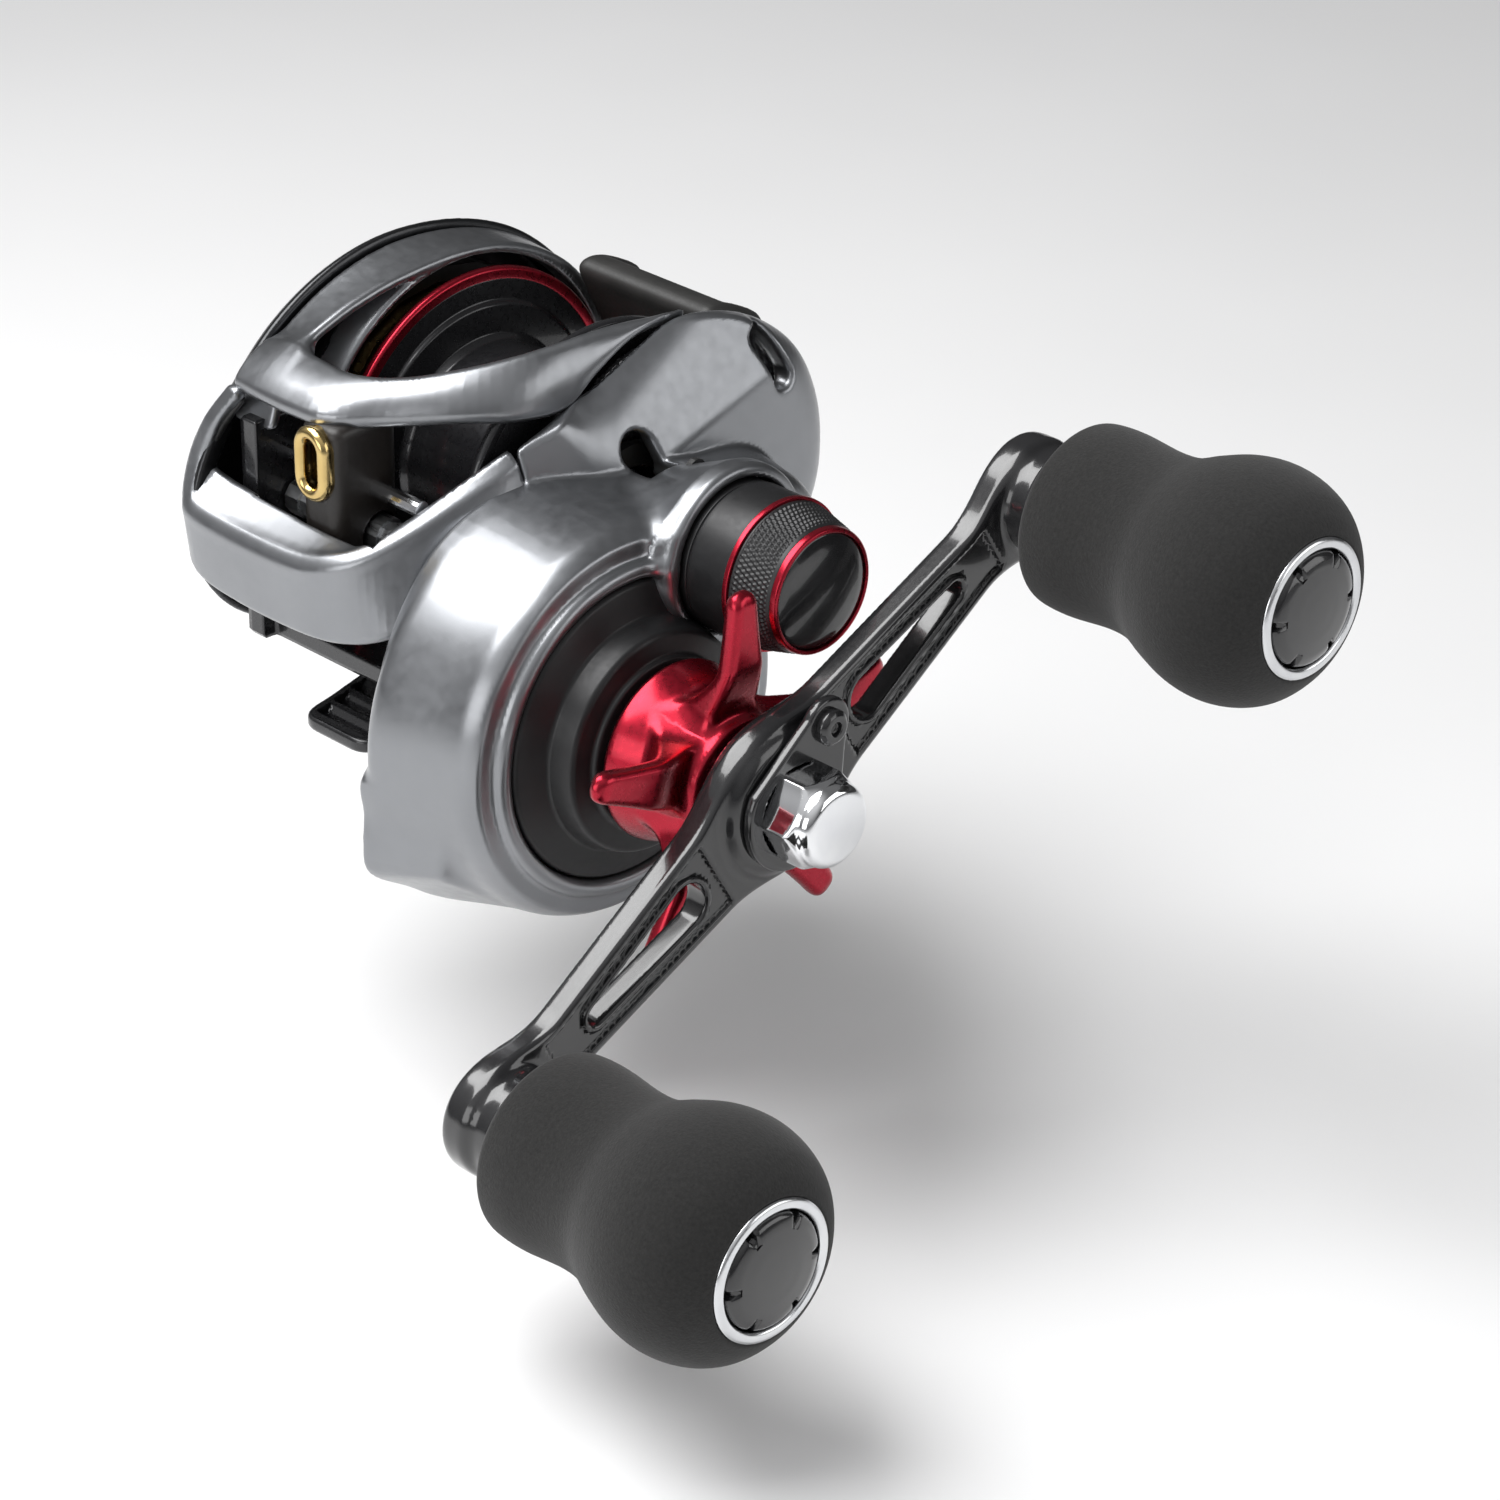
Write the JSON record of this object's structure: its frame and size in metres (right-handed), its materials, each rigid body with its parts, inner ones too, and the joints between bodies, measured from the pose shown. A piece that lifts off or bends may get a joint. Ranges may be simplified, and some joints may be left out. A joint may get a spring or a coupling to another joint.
{
  "type": "baitcasting reel",
  "caption": "Low-profile baitcasting reel with a silver body, black spool, red star drag, level wind and a double handle with bulb-shaped foam knobs",
  "frame": {"origin": "middle of the flat underside of the reel foot, in the spool's mid plane", "axes": "+X along the spool shaft towards the handle, -Y towards the line exit at the front, +Z away from the rod the foot rests on"},
  "size_m": [0.1294, 0.1182, 0.088],
  "materials": {
    "silver_paint": "satin silver metallic paint",
    "black_metal": "gloss black anodised",
    "red_metal": "deep red anodised, satin gloss",
    "chrome": "polished",
    "steel": "fine machined",
    "brass": "machined",
    "gold_ring": "polished gold tone",
    "black_plastic": "fine texture, black",
    "grey_plastic": "dark grey, satin",
    "foam": "closed-cell foam, near black",
    "carbon": "woven carbon fibre, matt"
  },
  "bodies": {
    "frame": {"frame": "silver_paint", "front_hood": "silver_paint", "palm_side_plate": "silver_paint", "brake_case": "black_plastic", "brake_race": "brass", "spool_bearing_palm": "steel", "spool_bearing_handle": "steel", "pinion_bearing": "steel", "gear_side_cover": "silver_paint", "gear_cover_disc": "black_metal", "set_plate": "steel", "idler_pin": "steel", "roller_clutch": "steel", "clutch_spring_upper": "steel", "clutch_spring_lower": "steel", "cast_control_shim": "brass", "guide_rod": "chrome", "cover_screw_rear": "steel", "cover_screw_top": "steel", "cover_screw_lower": "steel"},
    "crank": {"drive_shaft": "steel", "shaft_gear": "black_plastic", "anti_reverse_ratchet": "steel", "drive_gear": "brass", "drag_washer_carbon": "carbon", "drag_key_washer": "steel", "drag_pressure_plate": "steel", "roller_sleeve": "steel", "drag_spring_washers": "steel", "handle_arm": "black_metal", "nut_retainer": "black_metal", "retainer_screw": "steel", "handle_nut": "chrome", "knob_shaft_upper": "steel", "knob_shaft_lower": "steel", "knob_collar_upper": "chrome", "knob_collar_lower": "chrome"},
    "spool": {"spool": "black_metal", "spool_shaft": "steel", "brake_rotor": "black_plastic"},
    "pinion": {"pinion_gear": "brass"},
    "worm": {"worm_shaft": "steel", "worm_gear": "brass"},
    "idler": {"idler_gear": "black_plastic"},
    "guide": {"line_guide": "black_plastic", "guide_ring": "gold_ring", "guide_pawl": "brass", "pawl_cap": "black_plastic"},
    "star": {"star_drag": "red_metal"},
    "cap": {"cast_control_cap": "black_metal", "cast_control_inlay": "black_plastic"},
    "thumb": {"thumb_bar": "grey_plastic"},
    "cam": {"clutch_cam": "black_plastic"},
    "yoke": {"clutch_yoke": "black_plastic"},
    "knob_upper": {"knob_grip_upper": "foam", "knob_cap_ring_upper": "chrome", "knob_cap_upper": "black_plastic"},
    "knob_lower": {"knob_grip_lower": "foam", "knob_cap_ring_lower": "chrome", "knob_cap_lower": "black_plastic"}
  },
  "joints": [
    {"name": "crank_spin", "type": "hinge", "parent": "frame", "child": "crank", "pos_m": [0, -0.01611, 0.00808], "axis": [1, 0, 0], "continuous": true},
    {"name": "spool_spin", "type": "hinge", "parent": "frame", "child": "spool", "pos_m": [0, 0, 0.027], "axis": [1, 0, 0], "continuous": true},
    {"name": "pinion_shift", "type": "slide", "parent": "spool", "child": "pinion", "axis": [1, 0, 0], "range_m": [0, 0.0015]},
    {"name": "worm_spin", "type": "hinge", "parent": "frame", "child": "worm", "pos_m": [0, -0.0272, 0.0268], "axis": [1, 0, 0], "continuous": true},
    {"name": "idler_spin", "type": "hinge", "parent": "frame", "child": "idler", "pos_m": [0, -0.02445, 0.01792], "axis": [1, 0, 0], "continuous": true},
    {"name": "guide_travel", "type": "slide", "parent": "frame", "child": "guide", "axis": [1, 0, 0], "range_m": [-0.0072, 0.0068]},
    {"name": "star_turn", "type": "hinge", "parent": "crank", "child": "star", "pos_m": [0, -0.01611, 0.00808], "axis": [1, 0, 0], "range_deg": [-360, 180]},
    {"name": "cap_turn", "type": "hinge", "parent": "frame", "child": "cap", "pos_m": [0, 0, 0.027], "axis": [1, 0, 0], "range_deg": [-270, 270]},
    {"name": "thumb_press", "type": "slide", "parent": "frame", "child": "thumb", "axis": [0, 0.35, -0.9368], "range_m": [0, 0.004]},
    {"name": "cam_turn", "type": "hinge", "parent": "frame", "child": "cam", "pos_m": [0, 0, 0.027], "axis": [1, 0, 0], "range_deg": [-25, 0]},
    {"name": "yoke_shift", "type": "slide", "parent": "frame", "child": "yoke", "axis": [1, 0, 0], "range_m": [0, 0.0015]},
    {"name": "knob_upper_spin", "type": "hinge", "parent": "crank", "child": "knob_upper", "pos_m": [0.085, 0.02788, 0.03388], "axis": [1, 0, 0], "continuous": true},
    {"name": "knob_lower_spin", "type": "hinge", "parent": "crank", "child": "knob_lower", "pos_m": [0.085, -0.06009, -0.01773], "axis": [1, 0, 0], "continuous": true}
  ],
  "couplings": [
    {"joint": "spool_spin", "follows": "crank_spin", "ratio": -6.1},
    {"joint": "idler_spin", "follows": "crank_spin", "ratio": -1.2632},
    {"joint": "worm_spin", "follows": "crank_spin", "ratio": 2},
    {"joint": "cam_turn", "follows": "thumb_press", "rad_per_m": -109},
    {"joint": "yoke_shift", "follows": "thumb_press", "ratio": 0.375},
    {"joint": "pinion_shift", "follows": "thumb_press", "ratio": 0.375}
  ]
}
